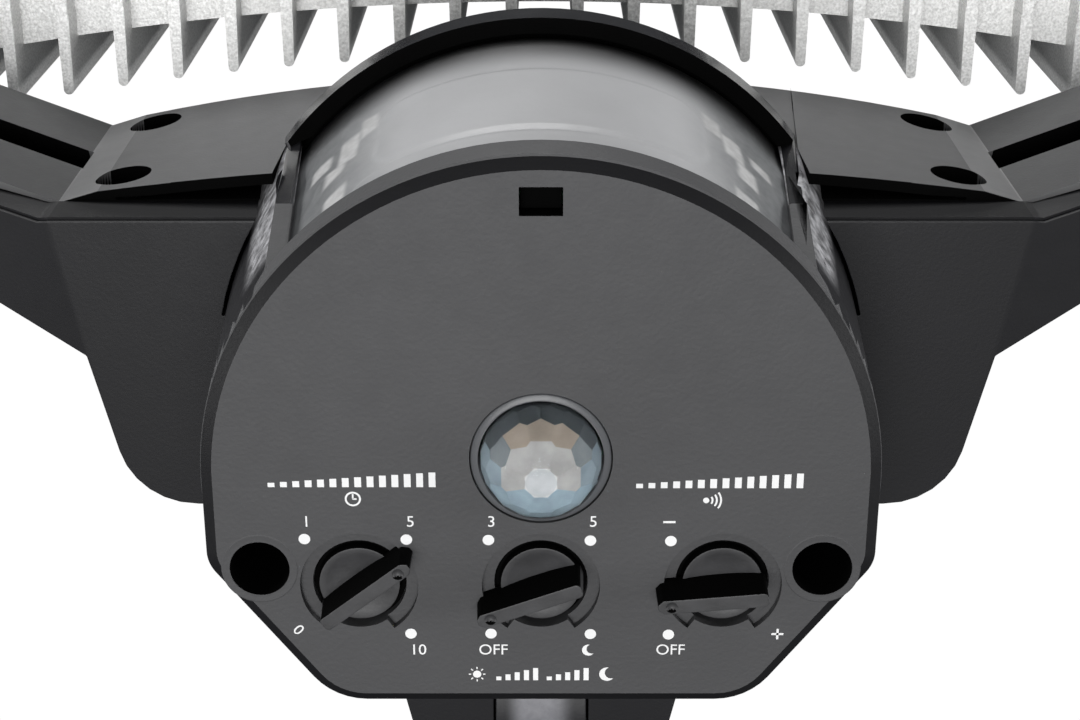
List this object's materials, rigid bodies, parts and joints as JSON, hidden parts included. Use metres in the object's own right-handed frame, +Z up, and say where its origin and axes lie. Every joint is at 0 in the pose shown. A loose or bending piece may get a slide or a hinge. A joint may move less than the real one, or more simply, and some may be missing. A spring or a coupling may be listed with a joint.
{
  "type": "security light",
  "caption": "Wall-mounted LED flood light with a motion sensor, a tilting lamp head with a finned heat sink, three setting dials and a tilting wall knuckle.",
  "frame": {"origin": "centre of the back face that lies on the wall", "axes": "+Y into the wall, -Y out of the wall towards the lamp's front, +Z up, +X to the right for a viewer who faces the light"},
  "size_m": [0.252, 0.1786, 0.1922],
  "materials": {
    "panel_plastic": "fine matte, slightly warm mid grey",
    "gloss_black": "polished black",
    "cover_plastic": "satin charcoal",
    "body_plastic": "satin blue-black",
    "dial_black": "satin black",
    "frosted_lens": "frosted, ribbed on the inside",
    "facet_lens": "clear with facets on the inside",
    "silver_paint": "speckled silver over die-cast metal",
    "lamp_glass": "clear tempered glass",
    "gasket_rubber": "black moulded rubber",
    "zinc_steel": "bright zinc plate",
    "black_steel": "blackened screw steel",
    "can_metal": "drawn metal can",
    "board_green": "solder-masked circuit board",
    "board_white": "white-masked metal-core board",
    "led_yellow": "phosphor yellow",
    "reflector_chrome": "vacuum-plated",
    "coil_yellow": "insulating tape",
    "sleeve_black": "shrink sleeve",
    "terminal_white": "moulded nylon",
    "cell_red": "coated light sensor",
    "switch_blue": "moulded switch body"
  },
  "bodies": {
    "wall": {"wall_gasket": "gasket_rubber", "mounting_strap": "zinc_steel", "wall_canopy": "body_plastic", "canopy_screws": "zinc_steel", "cable_grommet": "gasket_rubber"},
    "body": {"knuckle_bolt": "zinc_steel", "knuckle_washers": "zinc_steel", "knuckle_nut": "zinc_steel", "rear_housing": "body_plastic", "front_cover": "cover_plastic", "housing_gasket": "gasket_rubber", "cover_screws": "black_steel", "cable_gland": "body_plastic", "driver_board": "board_green", "driver_transformer": "coil_yellow", "driver_capacitors": "sleeve_black", "terminal_block": "terminal_white", "driver_screws": "zinc_steel", "sensor_base": "panel_plastic", "sensor_shell": "gloss_black", "sensor_gasket": "gasket_rubber", "sensor_screws": "black_steel", "fresnel_lens": "frosted_lens", "down_lens": "facet_lens", "down_lens_ring": "gloss_black", "sensor_board": "board_green", "board_screws": "zinc_steel", "pyro_board": "board_green", "pyro_sensors": "can_metal", "light_cell": "cell_red", "dial_switches": "switch_blue", "pivot_washers": "gasket_rubber"},
    "timer": {"timer_dial": "dial_black"},
    "mode": {"mode_dial": "dial_black"},
    "range": {"range_dial": "dial_black"},
    "lamp": {"heat_sink": "silver_paint", "led_boards": "board_white", "led_chips": "led_yellow", "reflectors": "reflector_chrome", "lens_gasket": "gasket_rubber", "lamp_lens": "lamp_glass", "lamp_bezel": "body_plastic", "bezel_screws": "black_steel", "pivot_bolts": "zinc_steel"}
  },
  "joints": [
    {"name": "body_tilt", "type": "hinge", "parent": "wall", "child": "body", "pos_m": [0, -0.054, 0], "axis": [1, 0, 0], "range_deg": [-20, 30]},
    {"name": "lamp_tilt", "type": "hinge", "parent": "body", "child": "lamp", "pos_m": [0, -0.152, 0.066], "axis": [1, 0, 0], "range_deg": [-30, 60]},
    {"name": "timer_turn", "type": "hinge", "parent": "body", "child": "timer", "pos_m": [-0.024, -0.1011, -0.052], "axis": [0, 0, 1], "range_deg": [-189, 85]},
    {"name": "mode_turn", "type": "hinge", "parent": "body", "child": "mode", "pos_m": [0, -0.1011, -0.052], "axis": [0, 0, 1], "range_deg": [-27, 247]},
    {"name": "range_turn", "type": "hinge", "parent": "body", "child": "range", "pos_m": [0.024, -0.1011, -0.052], "axis": [0, 0, 1], "range_deg": [-42, 232]}
  ]
}
